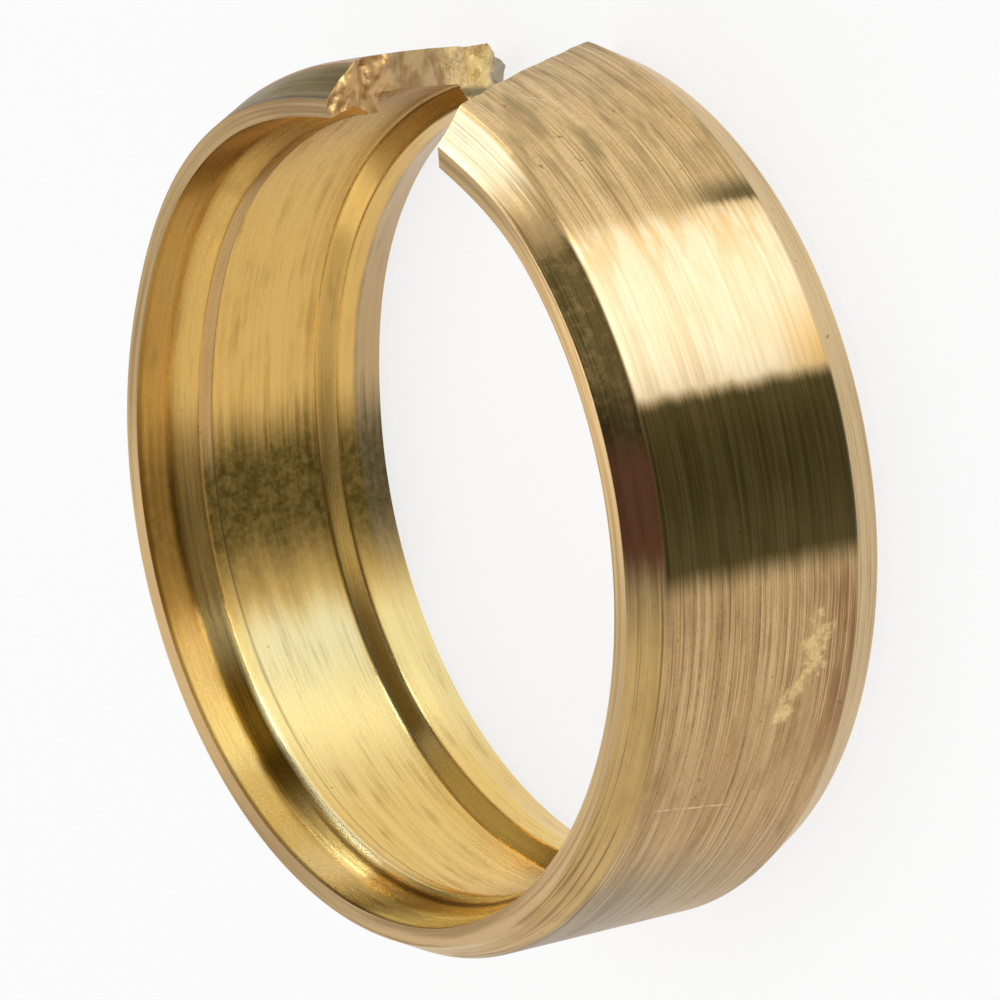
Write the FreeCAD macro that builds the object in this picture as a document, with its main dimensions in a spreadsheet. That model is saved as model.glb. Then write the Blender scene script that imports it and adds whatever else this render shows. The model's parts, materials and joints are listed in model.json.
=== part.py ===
"""Split compression olive: a turned ring with two gripping ribs in its bore, cut through on a slant.

The ring lies on one end. Its axis is +Z, the origin is on the axis in the plane of the lower end face,
and the cut is centred on +X. Millimetres.
"""
import FreeCAD, Part
import Sketcher
import os

NODE = "split_olive"

# Driving dimensions: name, size, meaning
SIZES = [
    ("pipe_diameter", 16.0, "outside diameter of the pipe that the ring grips"),
    ("pipe_clearance", 0.05, "gap between pipe and rib before tightening, on the radius"),
    ("groove_depth", 0.4, "radial depth of the groove between the ribs"),
    ("groove_wall", 0.75, "radial wall outside the groove"),
    ("ring_width", 6.2, "length along the axis"),
    ("end_wall", 0.38, "radial width of each flat end face"),
    ("bevel_angle", 26.0, "slope of the outer bevels to the axis, degrees"),
    ("upper_bevel", 0.8, "axial length of the upper bevel"),
    ("lower_bevel", 0.85, "axial length of the lower bevel"),
    ("lip_taper", 0.06, "how much the upper lip narrows inwards, on the radius"),
    ("upper_lip", 0.75, "axial length of the plain lip at the upper end"),
    ("upper_flank", 0.55, "axial length of the upper rib's outer flank"),
    ("upper_crest", 0.35, "axial length of the upper rib's crest"),
    ("upper_back", 0.2, "axial length of the upper rib's flank in the groove"),
    ("lower_back", 0.3, "axial length of the lower rib's flank in the groove"),
    ("lower_crest", 0.5, "axial length of the lower rib's crest"),
    ("lower_flare", 0.85, "axial length of the flare at the lower end"),
    ("rib_round", 0.12, "rounding of the rib crests"),
    ("groove_round", 0.15, "rounding in the corners of the groove"),
    ("lip_round", 0.5, "rounding between the upper lip and the rib"),
    ("gap_width", 3.5, "width of the cut, square to its walls"),
    ("gap_slant", 23.0, "slant of the cut to the axis, degrees"),
    ("gap_overrun", 1.0, "how far the cutter passes each end of the ring"),
]


def add_sheet(doc):
    """Write the driving dimensions into a spreadsheet, one alias each."""
    sheet = doc.addObject("Spreadsheet::Sheet", "Sizes")
    for row, (alias, size, meaning) in enumerate(SIZES, start=1):
        sheet.set(f"A{row}", alias)
        sheet.set(f"B{row}", str(size))
        sheet.set(f"C{row}", meaning)
        sheet.setAlias(f"B{row}", alias)
    doc.recompute()


def origin_plane(body, role):
    """Find one of the body's own origin planes."""
    return next(plane for plane in body.Origin.OriginFeatures if plane.Role == role)


def add_sketch(body, name, role):
    """Start a sketch on an origin plane of its body."""
    sketch = body.newObject("Sketcher::SketchObject", name)
    sketch.AttachmentSupport = [(origin_plane(body, role), "")]
    sketch.MapMode = "FlatFace"
    return sketch


def draw_outline(sketch, corners):
    """Draw a closed outline whose named corners are pinned by pairs of expressions, across and up."""
    points = [corner_point(sketch, corner) for corner in corners.values()]
    count = len(points)
    for index in range(count):
        sketch.addGeometry(Part.LineSegment(points[index], points[(index + 1) % count]), False)
    for index in range(count):
        sketch.addConstraint(Sketcher.Constraint("Coincident", index, 2, (index + 1) % count, 1))
    for index, expressions in enumerate(corners.values()):
        for kind, expression in zip(("DistanceX", "DistanceY"), expressions):
            pin_corner(sketch, index, kind, expression, points[index])


def corner_point(sketch, corner):
    """Where a corner's pair of expressions puts it in the sketch."""
    across, up = corner
    return FreeCAD.Vector(sketch.evalExpression(across), sketch.evalExpression(up), 0)


def pin_corner(sketch, line, kind, expression, point):
    """Hold the start of a line at a distance from the sketch origin that an expression gives."""
    distance = point.x if kind == "DistanceX" else point.y
    pin = sketch.addConstraint(Sketcher.Constraint(kind, -1, 1, line, 1, distance))
    sketch.setExpression(f"Constraints[{pin}]", expression)


def section_corners():
    """Corners of the ring's section as radius and height, anticlockwise from the lower end's outer edge."""
    crest = "Sizes.pipe_diameter / 2 + Sizes.pipe_clearance"
    groove = f"{crest} + Sizes.groove_depth"
    outer = f"{groove} + Sizes.groove_wall"
    lower_end = f"{outer} - Sizes.lower_bevel * tan(Sizes.bevel_angle * 1 deg)"
    upper_end = f"{outer} - Sizes.upper_bevel * tan(Sizes.bevel_angle * 1 deg)"
    lip_foot = "Sizes.ring_width - Sizes.upper_lip"
    upper_crest_top = f"{lip_foot} - Sizes.upper_flank"
    upper_crest_foot = f"{upper_crest_top} - Sizes.upper_crest"
    lower_crest_top = "Sizes.lower_flare + Sizes.lower_crest"
    return {
        "lower_end_outside": (lower_end, "0"),
        "lower_shoulder": (outer, "Sizes.lower_bevel"),
        "upper_shoulder": (outer, "Sizes.ring_width - Sizes.upper_bevel"),
        "upper_end_outside": (upper_end, "Sizes.ring_width"),
        "upper_end_inside": (f"{upper_end} - Sizes.end_wall", "Sizes.ring_width"),
        "lip_foot": (f"{upper_end} - Sizes.end_wall - Sizes.lip_taper", lip_foot),
        "upper_crest_top": (crest, upper_crest_top),
        "upper_crest_foot": (crest, upper_crest_foot),
        "groove_top": (groove, f"{upper_crest_foot} - Sizes.upper_back"),
        "groove_foot": (groove, f"{lower_crest_top} + Sizes.lower_back"),
        "lower_crest_top": (crest, lower_crest_top),
        "lower_crest_foot": (crest, "Sizes.lower_flare"),
        "lower_end_inside": (f"{lower_end} - Sizes.end_wall", "0"),
    }


# Corners of the section that are rounded, by the size that rounds them
ROUNDED = {
    "rib_round": ("upper_crest_top", "upper_crest_foot", "lower_crest_top", "lower_crest_foot"),
    "groove_round": ("groove_top", "groove_foot"),
    "lip_round": ("lip_foot",),
}


def add_ring(body):
    """Turn the section into a closed ring and round the corners of its bore."""
    doc = body.Document
    corners = section_corners()
    sketch = add_sketch(body, "RingSection", "XZ_Plane")
    draw_outline(sketch, corners)
    ring = body.newObject("PartDesign::Revolution", "TurnedRing")
    ring.Profile = sketch
    ring.ReferenceAxis = (sketch, ["V_Axis"])
    ring.Angle = 360.0
    doc.recompute()
    for size, names in ROUNDED.items():
        points = [corner_point(sketch, corners[name]) for name in names]
        rounding = body.newObject("PartDesign::Fillet", size.title().replace("_", ""))
        rounding.Base = (ring, round_edge_names(ring.Shape, points))
        rounding.setExpression("Radius", f"Sizes.{size}")
        doc.recompute()
        ring = rounding
    return ring


def round_edge_names(shape, points):
    """Names of the round edges that the section's corner points sweep out."""
    names = []
    for index, edge in enumerate(shape.Edges, start=1):
        if not isinstance(edge.Curve, Part.Circle):
            continue
        swept = FreeCAD.Vector(edge.Curve.Radius, edge.Curve.Center.z, 0)
        if any(swept.isEqual(point, 1e-5) for point in points):
            names.append(f"Edge{index}")
    return names


def gap_corners():
    """Corners of the slanted cut, seen along its own radius: across the ring and up it."""
    half = "Sizes.gap_width / 2 / cos(Sizes.gap_slant * 1 deg)"
    lean = "(Sizes.ring_width / 2 + Sizes.gap_overrun) * tan(Sizes.gap_slant * 1 deg)"
    foot = "-Sizes.gap_overrun"
    top = "Sizes.ring_width + Sizes.gap_overrun"
    return {
        "foot_right": (f"{lean} - {half}", foot),
        "foot_left": (f"{lean} + {half}", foot),
        "top_left": (f"-{lean} + {half}", top),
        "top_right": (f"-{lean} - {half}", top),
    }


def add_gap(body):
    """Cut the ring through at +X, on a slant."""
    sketch = add_sketch(body, "GapOutline", "YZ_Plane")
    draw_outline(sketch, gap_corners())
    gap = body.newObject("PartDesign::Pocket", "SlantedCut")
    gap.Profile = sketch
    gap.Type = 1
    gap.Reversed = True
    return gap


def check(doc, body, uncut_volume):
    """Stop if anything failed to build, or if the cut took nothing away."""
    for item in doc.Objects:
        if "Invalid" in item.State or "Error" in item.State:
            raise RuntimeError(f"{item.Label} did not build: {item.State}")
    shape = body.Shape
    if shape.isNull() or not shape.isValid() or len(shape.Solids) != 1:
        raise RuntimeError(f"{body.Label} is not one valid solid")
    if shape.Volume > 0.99 * uncut_volume:
        raise RuntimeError("the slanted cut removed nothing")


def main():
    doc = FreeCAD.newDocument("SplitOlive")
    add_sheet(doc)
    body = doc.addObject("PartDesign::Body", "Olive")
    body.Label = NODE
    uncut_volume = add_ring(body).Shape.Volume
    add_gap(body)
    doc.recompute()
    check(doc, body, uncut_volume)
    os.makedirs("parts", exist_ok=True)
    body.Shape.exportStep(f"parts/{body.Label}.step")
    print(f"{body.Label}: {body.Shape.Volume:.2f} cubic mm, the cut took {uncut_volume - body.Shape.Volume:.2f}")


main()
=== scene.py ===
"""Looks of the split brass olive: a ring rolled from a straight strip, its torn cut, and a small studio.

Sizes of the ring are written in millimetres and turned into metres where a mesh or a node needs them.
"""
import json
import math

import bpy
from mathutils import Matrix, Vector


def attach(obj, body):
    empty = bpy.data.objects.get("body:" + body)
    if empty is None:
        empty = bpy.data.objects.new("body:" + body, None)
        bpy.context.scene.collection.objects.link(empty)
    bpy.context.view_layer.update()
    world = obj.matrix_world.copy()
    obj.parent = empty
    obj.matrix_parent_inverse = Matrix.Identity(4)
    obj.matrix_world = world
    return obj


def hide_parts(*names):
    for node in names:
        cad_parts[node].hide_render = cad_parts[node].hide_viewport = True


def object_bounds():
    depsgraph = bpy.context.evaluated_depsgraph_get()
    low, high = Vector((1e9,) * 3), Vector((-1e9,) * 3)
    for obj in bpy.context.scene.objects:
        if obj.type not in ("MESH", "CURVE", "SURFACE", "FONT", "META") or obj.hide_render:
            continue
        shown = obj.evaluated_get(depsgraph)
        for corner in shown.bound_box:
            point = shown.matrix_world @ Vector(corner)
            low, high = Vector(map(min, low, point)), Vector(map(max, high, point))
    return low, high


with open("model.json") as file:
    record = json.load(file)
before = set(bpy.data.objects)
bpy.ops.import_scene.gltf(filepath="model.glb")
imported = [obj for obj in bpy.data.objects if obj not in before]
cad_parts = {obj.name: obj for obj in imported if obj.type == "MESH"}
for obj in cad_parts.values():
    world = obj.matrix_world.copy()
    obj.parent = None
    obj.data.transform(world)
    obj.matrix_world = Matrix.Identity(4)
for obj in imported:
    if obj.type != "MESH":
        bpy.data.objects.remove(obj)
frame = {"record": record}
CAD_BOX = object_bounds()

MM = 0.001
NODE = "split_olive"
MOUNTS = {mount["name"]: mount for mount in frame["record"]["mounts"]}

# Section of the ring
OUTER_RADIUS = MOUNTS["nut_bore"]["dims"]["r_mm"]
CREST_RADIUS = MOUNTS["pipe_bore"]["dims"]["r_mm"]
GROOVE_RADIUS = 8.45
RING_WIDTH = round((CAD_BOX[1][2] - CAD_BOX[0][2]) / MM, 3)
END_WALL = 0.38
BEVEL_SLOPE = math.tan(math.radians(26.0))
UPPER_BEVEL = 0.8
LOWER_BEVEL = 0.85
LIP_TAPER = 0.06
UPPER_LIP = 0.75
UPPER_FLANK = 0.55
UPPER_CREST = 0.35
UPPER_BACK = 0.2
LOWER_BACK = 0.3
LOWER_CREST = 0.5
LOWER_FLARE = 0.85
RIB_ROUND = 0.12
GROOVE_ROUND = 0.15
LIP_ROUND = 0.5
EDGE_BREAK = 0.04

# Radii of the end faces, and heights in the bore above the lower end face
LOWER_END_RADIUS = OUTER_RADIUS - LOWER_BEVEL * BEVEL_SLOPE
UPPER_END_RADIUS = OUTER_RADIUS - UPPER_BEVEL * BEVEL_SLOPE
LIP_FOOT = RING_WIDTH - UPPER_LIP
UPPER_CREST_TOP = LIP_FOOT - UPPER_FLANK
UPPER_CREST_FOOT = UPPER_CREST_TOP - UPPER_CREST
GROOVE_TOP = UPPER_CREST_FOOT - UPPER_BACK
LOWER_CREST_TOP = LOWER_FLARE + LOWER_CREST
GROOVE_FOOT = LOWER_CREST_TOP + LOWER_BACK

# The slanted cut, its slant in degrees
GAP_WIDTH = 3.5
GAP_SLANT = 23.0

# How finely the strip is divided
ACROSS_STEPS = 120
WALL_STEPS = 14
ALONG_STEPS = 270
END_STEPS = 24
END_STEP_SHARE = 0.0011
ROUND_STEPS = 5


def rounded_line(corners):
    """Points of a line through corners of radius, height and rounding, with an arc at each rounded one."""
    points = []
    last = len(corners) - 1
    for index, (radius, height, rounding) in enumerate(corners):
        here = Vector((radius, height))
        if rounding == 0.0 or index in (0, last):
            points.append(here)
            continue
        before = (Vector(corners[index - 1][:2]) - here).normalized()
        after = (Vector(corners[index + 1][:2]) - here).normalized()
        half_angle = before.angle(after) / 2
        middle = here + (before + after).normalized() * rounding / math.sin(half_angle)
        start = here + before * rounding / math.tan(half_angle) - middle
        stop = here + after * rounding / math.tan(half_angle) - middle
        for step in range(ROUND_STEPS):
            points.append(middle + start.slerp(stop, step / (ROUND_STEPS - 1)) * rounding)
    return points


def divided(points, steps):
    """The same line in a given number of steps, every one of its points kept."""
    lengths = [(after - before).length for before, after in zip(points, points[1:])]
    total = sum(lengths)
    counts = [max(1, round(steps * length / total)) for length in lengths]
    longest = lengths.index(max(lengths))
    counts[longest] += steps - sum(counts)
    line = [points[0]]
    for before, after, count in zip(points, points[1:], counts):
        line.extend(before.lerp(after, (step + 1) / count) for step in range(count))
    return line


def outer_line():
    """Outside of the section, from the lower end to the upper."""
    return divided(rounded_line([
        (LOWER_END_RADIUS, 0.0, 0.0),
        (OUTER_RADIUS, LOWER_BEVEL, EDGE_BREAK),
        (OUTER_RADIUS, RING_WIDTH - UPPER_BEVEL, EDGE_BREAK),
        (UPPER_END_RADIUS, RING_WIDTH, 0.0),
    ]), ACROSS_STEPS)


def inner_line():
    """Bore of the section, from the lower end to the upper."""
    return divided(rounded_line([
        (LOWER_END_RADIUS - END_WALL, 0.0, 0.0),
        (CREST_RADIUS, LOWER_FLARE, RIB_ROUND),
        (CREST_RADIUS, LOWER_CREST_TOP, RIB_ROUND),
        (GROOVE_RADIUS, GROOVE_FOOT, GROOVE_ROUND),
        (GROOVE_RADIUS, GROOVE_TOP, GROOVE_ROUND),
        (CREST_RADIUS, UPPER_CREST_FOOT, RIB_ROUND),
        (CREST_RADIUS, UPPER_CREST_TOP, RIB_ROUND),
        (UPPER_END_RADIUS - END_WALL - LIP_TAPER, LIP_FOOT, LIP_ROUND),
        (UPPER_END_RADIUS - END_WALL, RING_WIDTH, 0.0),
    ]), ACROSS_STEPS)


def shares_along():
    """Places along the strip from 0 to 1, closer together near both ends."""
    ends = [step * END_STEP_SHARE for step in range(END_STEPS)]
    reach = END_STEPS * END_STEP_SHARE
    middle = [reach + (1 - 2 * reach) * step / ALONG_STEPS for step in range(ALONG_STEPS + 1)]
    return ends + middle + [1 - share for share in reversed(ends)]


def strip_blank():
    """Straight strip with the ring's section: X is the share along it, Y the radius and Z the height."""
    outer = outer_line()
    inner = inner_line()
    last = ACROSS_STEPS

    def section_point(step, layer):
        return inner[step].lerp(outer[step], layer / WALL_STEPS)

    outline = [(step, WALL_STEPS) for step in range(last + 1)]
    outline += [(last, layer) for layer in range(WALL_STEPS - 1, 0, -1)]
    outline += [(step, 0) for step in range(last, -1, -1)]
    outline += [(0, layer) for layer in range(1, WALL_STEPS)]
    places = shares_along()
    loop = len(outline)
    verts = []
    for share in places:
        for step, layer in outline:
            point = section_point(step, layer) * MM
            verts.append((share, point.x, point.y))
    faces = []
    for column in range(len(places) - 1):
        for index in range(loop):
            here = column * loop + index
            beside = column * loop + (index + 1) % loop
            faces.append((here, beside, beside + loop, here + loop))
    for share, first in ((0.0, 0), (1.0, (len(places) - 1) * loop)):
        names = {spot: first + index for index, spot in enumerate(outline)}
        for step in range(1, last):
            for layer in range(1, WALL_STEPS):
                point = section_point(step, layer) * MM
                names[(step, layer)] = len(verts)
                verts.append((share, point.x, point.y))
        for step in range(last):
            for layer in range(WALL_STEPS):
                corners = [(step, layer), (step, layer + 1), (step + 1, layer + 1), (step + 1, layer)]
                if share == 0.0:
                    corners.reverse()
                faces.append([names[spot] for spot in corners])
    mesh = bpy.data.meshes.new("strip_blank")
    mesh.from_pydata(verts, [], faces)
    mesh.validate()
    return mesh


class NodeTree:
    """Adds nodes to a tree and links values into them by socket name or number."""

    def __init__(self, tree):
        self.tree = tree

    def node(self, kind, inputs=None, **settings):
        node = self.tree.nodes.new(kind)
        for name, value in settings.items():
            setattr(node, name, value)
        for socket, value in (inputs or {}).items():
            self.put(node.inputs[socket], value)
        return node

    def put(self, socket, value):
        """Link a socket, or set a plain value."""
        if isinstance(value, bpy.types.NodeSocket):
            self.tree.links.new(value, socket)
        else:
            socket.default_value = value

    def math(self, operation, *values):
        node = self.node("ShaderNodeMath", operation=operation)
        for socket, value in zip(node.inputs, values):
            self.put(socket, value)
        return node.outputs[0]

    def times(self, *values):
        product = values[0]
        for value in values[1:]:
            product = self.math("MULTIPLY", product, value)
        return product

    def plus(self, *values):
        total = values[0]
        for value in values[1:]:
            total = self.math("ADD", total, value)
        return total

    def minus(self, value, other):
        return self.math("SUBTRACT", value, other)

    def most(self, *values):
        greatest = values[0]
        for value in values[1:]:
            greatest = self.math("MAXIMUM", greatest, value)
        return greatest

    def ramp(self, value, low, high, start=0.0, stop=1.0):
        """Smooth step from start, at low, to stop, at high."""
        inputs = {"Value": value, "From Min": low, "From Max": high, "To Min": start, "To Max": stop}
        return self.node("ShaderNodeMapRange", inputs, interpolation_type="SMOOTHSTEP").outputs["Result"]

    def vector(self, across, along, up):
        return self.node("ShaderNodeCombineXYZ", {"X": across, "Y": along, "Z": up}).outputs[0]

    def noise(self, vector, scale, detail, roughness):
        inputs = {"Vector": vector, "Scale": scale, "Detail": detail, "Roughness": roughness}
        return self.node("ShaderNodeTexNoise", inputs, noise_dimensions="3D").outputs[0]


# Named inputs of the rolling tree, in metres but for the slant, in radians, and the seed
ROLL_INPUTS = {
    "Ring width": RING_WIDTH * MM,
    "Gap width": GAP_WIDTH * MM,
    "Gap slant": math.radians(GAP_SLANT),
    "Left droop": 0.26 * MM,
    "Left sink": 0.12 * MM,
    "Left droop reach": 4.3 * MM,
    "Left bulge": 0.11 * MM,
    "Left bulge place": 6.3 * MM,
    "Left bulge reach": 4.0 * MM,
    "Right droop": 0.17 * MM,
    "Right droop reach": 3.2 * MM,
    "Tear depth": 1.1 * MM,
    "Tear reach": 0.7 * MM,
    "Turning depth": 0.003 * MM,
    "Dent depth": 0.06 * MM,
    "Seed": 4.0,
}

# Heights between which the ends beside the cut droop and sink
DROOP_HEIGHTS = (RING_WIDTH - 1.3 * UPPER_BEVEL, RING_WIDTH)
SINK_HEIGHTS = (0.0, 0.8 * RING_WIDTH)

# Lobes of the dent: angle, height, half length and half breadth in millimetres, slope in degrees
DENT_LOBES = ((258.8, 1.72, 1.25, 0.60, 6.0), (252.0, 2.22, 1.05, 0.46, 24.0))

# Torn faces: heights between which the upper lumps grow and the lower ones fade, and shares of the depth
UPPER_LUMPS = (RING_WIDTH - 2.4, RING_WIDTH - 1.8)
UPPER_LUMP_SHARES = (0.4, 0.75)
LOWER_LUMPS = (1.3, 2.0)
LOWER_LUMP_SHARES = (0.9, 0.0)
RIGHT_TEAR_SHARE = 0.25
RIGHT_FACE_SEED = 7.0
LUMPS_PER_MM = 1.7
TURNING_WAVES_PER_MM = 5.0

# What counts as outer wall, torn face, bore, end face and sharp edge: millimetres, a share, and degrees
WALL_SKIN = 0.02
TORN_EDGE = 0.06
BORE_MARGIN = 0.1
END_MARGIN = 0.001
TORN_LEAST = 0.99
SHARP_ANGLE = 42.0


class RollingTree(NodeTree):
    """Tree that rolls the strip into the split ring, bends its ends, tears the cut and dents the wall."""

    def __init__(self):
        group = bpy.data.node_groups.new("roll_strip_into_olive", "GeometryNodeTree")
        group.interface.new_socket("Strip", in_out="INPUT", socket_type="NodeSocketGeometry")
        for name in ROLL_INPUTS:
            group.interface.new_socket(name, in_out="INPUT", socket_type="NodeSocketFloat")
        group.interface.new_socket("Ring", in_out="OUTPUT", socket_type="NodeSocketGeometry")
        super().__init__(group)
        self.size = self.node("NodeGroupInput").outputs
        position = self.node("GeometryNodeInputPosition").outputs[0]
        spot = self.node("ShaderNodeSeparateXYZ", {0: position}).outputs
        self.share = spot["X"]
        self.radius = spot["Y"]
        self.height = spot["Z"]
        self.lay_between_cut_walls()

    def lay_between_cut_walls(self):
        """Angle of a point between the slanted walls of the cut, and its way from either of them."""
        middle = self.minus(self.height, self.times(self.size["Ring width"], 0.5))
        lean = self.times(middle, self.math("TANGENT", self.size["Gap slant"]))
        half = self.times(self.size["Gap width"], 0.5)
        half = self.math("DIVIDE", half, self.math("COSINE", self.size["Gap slant"]))
        left = self.math("ARCSINE", self.math("DIVIDE", self.minus(half, lean), self.radius))
        right_side = self.minus(self.times(half, -1.0), lean)
        right = self.math("ARCSINE", self.math("DIVIDE", right_side, self.radius))
        span = self.minus(self.plus(right, 2 * math.pi), left)
        self.angle = self.plus(left, self.times(self.share, span))
        self.from_left = self.times(self.share, span, self.radius)
        self.from_right = self.times(self.minus(1.0, self.share), span, self.radius)

    def near(self, way, reach):
        """One at a wall of the cut, falling to zero where the way from it is the reach."""
        return self.ramp(way, 0.0, reach, 1.0, 0.0)

    def risen(self, heights, start=0.0, stop=1.0):
        """Smooth step between two heights in millimetres."""
        low, high = heights
        return self.ramp(self.height, low * MM, high * MM, start, stop)

    def end_bend(self):
        """Radial bend of the ends beside the cut: both droop, and the left one bulges behind its droop."""
        size = self.size
        near_upper = self.risen(DROOP_HEIGHTS)
        near_lower = self.risen(SINK_HEIGHTS, 1.0, 0.0)
        left = self.times(near_upper, size["Left droop"])
        left = self.plus(left, self.times(near_lower, size["Left sink"]))
        left = self.times(self.near(self.from_left, size["Left droop reach"]), left)
        right = self.times(near_upper, size["Right droop"])
        right = self.times(self.near(self.from_right, size["Right droop reach"]), right)
        off_bulge = self.math("ABSOLUTE", self.minus(self.from_left, size["Left bulge place"]))
        bulge = self.times(self.near(off_bulge, size["Left bulge reach"]), size["Left bulge"])
        return self.minus(bulge, self.plus(left, right))

    def turning_wave(self):
        """Fine waviness left by turning, only ever inwards and the same all the way round."""
        across = self.times(self.radius, 1 / MM)
        up = self.times(self.height, 1 / MM)
        waves = self.noise(self.vector(self.size["Seed"], across, up), TURNING_WAVES_PER_MM, 3.0, 0.7)
        return self.times(self.minus(waves, 1.0), self.size["Turning depth"])

    def dented(self):
        """One in the middle of the shallow dent, whose lobes are longer round the ring than across it."""
        lobes = 0.0
        for place, lobe_height, length, breadth, slope in DENT_LOBES:
            along = self.times(self.minus(self.angle, math.radians(place)), self.radius)
            up = self.minus(self.height, lobe_height * MM)
            up = self.math("MULTIPLY_ADD", along, math.tan(math.radians(slope)), up)
            along_share = self.math("DIVIDE", along, length * MM)
            up_share = self.math("DIVIDE", up, breadth * MM)
            way = {0: self.vector(along_share, up_share, 0.0)}
            reach = self.node("ShaderNodeVectorMath", way, operation="LENGTH").outputs["Value"]
            lobes = self.most(lobes, self.ramp(reach, 0.1, 1.0, 1.0, 0.0))
        return self.times(lobes, self.math("GREATER_THAN", self.radius, (OUTER_RADIUS - WALL_SKIN) * MM))

    def tear_pull(self):
        """How far the torn faces are pulled round the ring: lumpy near both bevels, smoother between."""
        on_right = self.math("GREATER_THAN", self.share, 0.5)
        seed = self.plus(self.size["Seed"], self.times(on_right, RIGHT_FACE_SEED))
        spot = self.vector(self.times(self.radius, 1 / MM), self.times(self.height, 1 / MM), seed)
        lumps = self.minus(self.noise(spot, LUMPS_PER_MM, 2.0, 0.5), 0.5)
        upper = self.risen(UPPER_LUMPS, *UPPER_LUMP_SHARES)
        lower = self.risen(LOWER_LUMPS, *LOWER_LUMP_SHARES)
        tear = self.times(lumps, self.most(upper, lower), self.size["Tear depth"])
        left = self.times(self.near(self.from_left, self.size["Tear reach"]), tear)
        right = self.times(self.near(self.from_right, self.size["Tear reach"]), tear, RIGHT_TEAR_SHARE)
        return self.minus(right, left)

    def marked(self, geometry, marks):
        """The mesh with values stored on its points by name."""
        for name, value in marks.items():
            inputs = {"Geometry": geometry, "Name": name}
            store = self.node("GeometryNodeStoreNamedAttribute", inputs, data_type="FLOAT", domain="POINT")
            self.put(store.inputs["Value"], value)
            geometry = store.outputs["Geometry"]
        return geometry

    def stored(self, name):
        """A value that was stored on the mesh earlier."""
        node = self.node("GeometryNodeInputNamedAttribute", {"Name": name}, data_type="FLOAT")
        return node.outputs["Attribute"]

    def creased(self, geometry):
        """The mesh shaded smooth but for its sharp edges."""
        inputs = {"Geometry": geometry, "Shade Smooth": True}
        smooth = self.node("GeometryNodeSetShadeSmooth", inputs, domain="FACE").outputs["Geometry"]
        edge_angle = self.node("GeometryNodeInputMeshEdgeAngle").outputs[0]
        sharp = self.math("GREATER_THAN", edge_angle, math.radians(SHARP_ANGLE))
        inputs = {"Geometry": smooth, "Selection": sharp, "Shade Smooth": False}
        return self.node("GeometryNodeSetShadeSmooth", inputs, domain="EDGE").outputs["Geometry"]

    def painted(self, geometry, wall, bore, torn):
        """The mesh with its three finishes."""
        in_bore = self.math("LESS_THAN", self.stored("section_radius"), (GROOVE_RADIUS + BORE_MARGIN) * MM)
        in_bore = self.times(in_bore, self.math("GREATER_THAN", self.height, END_MARGIN * MM))
        in_bore = self.times(in_bore, self.math("LESS_THAN", self.height, (RING_WIDTH - END_MARGIN) * MM))
        on_cut = self.math("GREATER_THAN", self.stored("torn"), TORN_LEAST)
        for finish, where in ((wall, True), (bore, in_bore), (torn, on_cut)):
            inputs = {"Geometry": geometry, "Selection": where, "Material": finish}
            geometry = self.node("GeometryNodeSetMaterial", inputs).outputs["Geometry"]
        return geometry

    def roll(self, wall, bore, torn):
        """Finish the tree with the ring in its three finishes."""
        dented = self.dented()
        dent = self.times(dented, self.size["Dent depth"])
        bent_radius = self.minus(self.plus(self.radius, self.end_bend(), self.turning_wave()), dent)
        torn_angle = self.plus(self.angle, self.math("DIVIDE", self.tear_pull(), self.radius))
        place = self.vector(self.times(bent_radius, self.math("COSINE", torn_angle)),
                            self.times(bent_radius, self.math("SINE", torn_angle)), self.height)
        at_left = self.near(self.from_left, TORN_EDGE * MM)
        at_right = self.near(self.from_right, TORN_EDGE * MM)
        marks = {"torn": self.most(at_left, at_right), "dented": dented, "section_radius": self.radius}
        moved = {"Geometry": self.marked(self.size["Strip"], marks), "Position": place}
        ring = self.node("GeometryNodeSetPosition", moved).outputs["Geometry"]
        creased = {"Geometry": self.creased(ring)}
        ring = self.node("GeometryNodeRealizeInstances", creased).outputs["Geometry"]
        self.node("NodeGroupOutput", {"Ring": self.painted(ring, wall, bore, torn)})
        return self.tree


def rolled_ring():
    """The finished ring as a plain mesh."""
    blank = bpy.data.objects.new("strip_blank", strip_blank())
    bpy.context.scene.collection.objects.link(blank)
    group = RollingTree().roll(wall_material(), bore_material(), torn_material())
    modifier = blank.modifiers.new("roll", "NODES")
    modifier.node_group = group
    for item in group.interface.items_tree:
        if item.in_out == "INPUT" and item.name in ROLL_INPUTS:
            modifier[item.identifier] = ROLL_INPUTS[item.name]
    depsgraph = bpy.context.evaluated_depsgraph_get()
    mesh = bpy.data.meshes.new_from_object(blank.evaluated_get(depsgraph))
    mesh.name = "olive_ring"
    bpy.data.objects.remove(blank)
    ring = bpy.data.objects.new("olive_ring", mesh)
    bpy.context.scene.collection.objects.link(ring)
    return ring


# Bands round the ring: start and stop angle about its axis from +X, and half of each soft edge, in degrees
# Band of painted dark reflection on the wall
WALL_DARK_REFLECTION_BAND = (269.8, 292.5, 2.2, 1.2)
# Band of painted highlight on the wall
WALL_HIGHLIGHT_BAND = (293.0, 315.5, 1.2, 2.0)
# Fringe of painted dark reflection past the wall's painted highlight
WALL_DARK_REFLECTION_FRINGE = (316.4, 319.4, 0.7, 2.0)
WALL_RED = (244.0, 268.0, 8.0, 4.0)
# Painted shade, a grey stretch near the foot of the wall
WALL_FOOT_SHADE_BAND = (190.0, 225.0, 8.0, 7.0)
# Band of painted dark reflection on the upper bevel
BEVEL_DARK_REFLECTION_BAND = (276.0, 318.0, 6.0, 5.0)
BEVEL_RED = (272.0, 288.0, 4.0, 4.0)
# Band of painted highlight on the upper bevel
BEVEL_HIGHLIGHT_BAND = (327.0, 350.0, 6.0, 2.0)
BEVEL_LEFT_DULL = (3.0, 36.0, 1.0, 8.0)
END_DULL = (100.0, 165.0, 10.0, 15.0)
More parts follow.
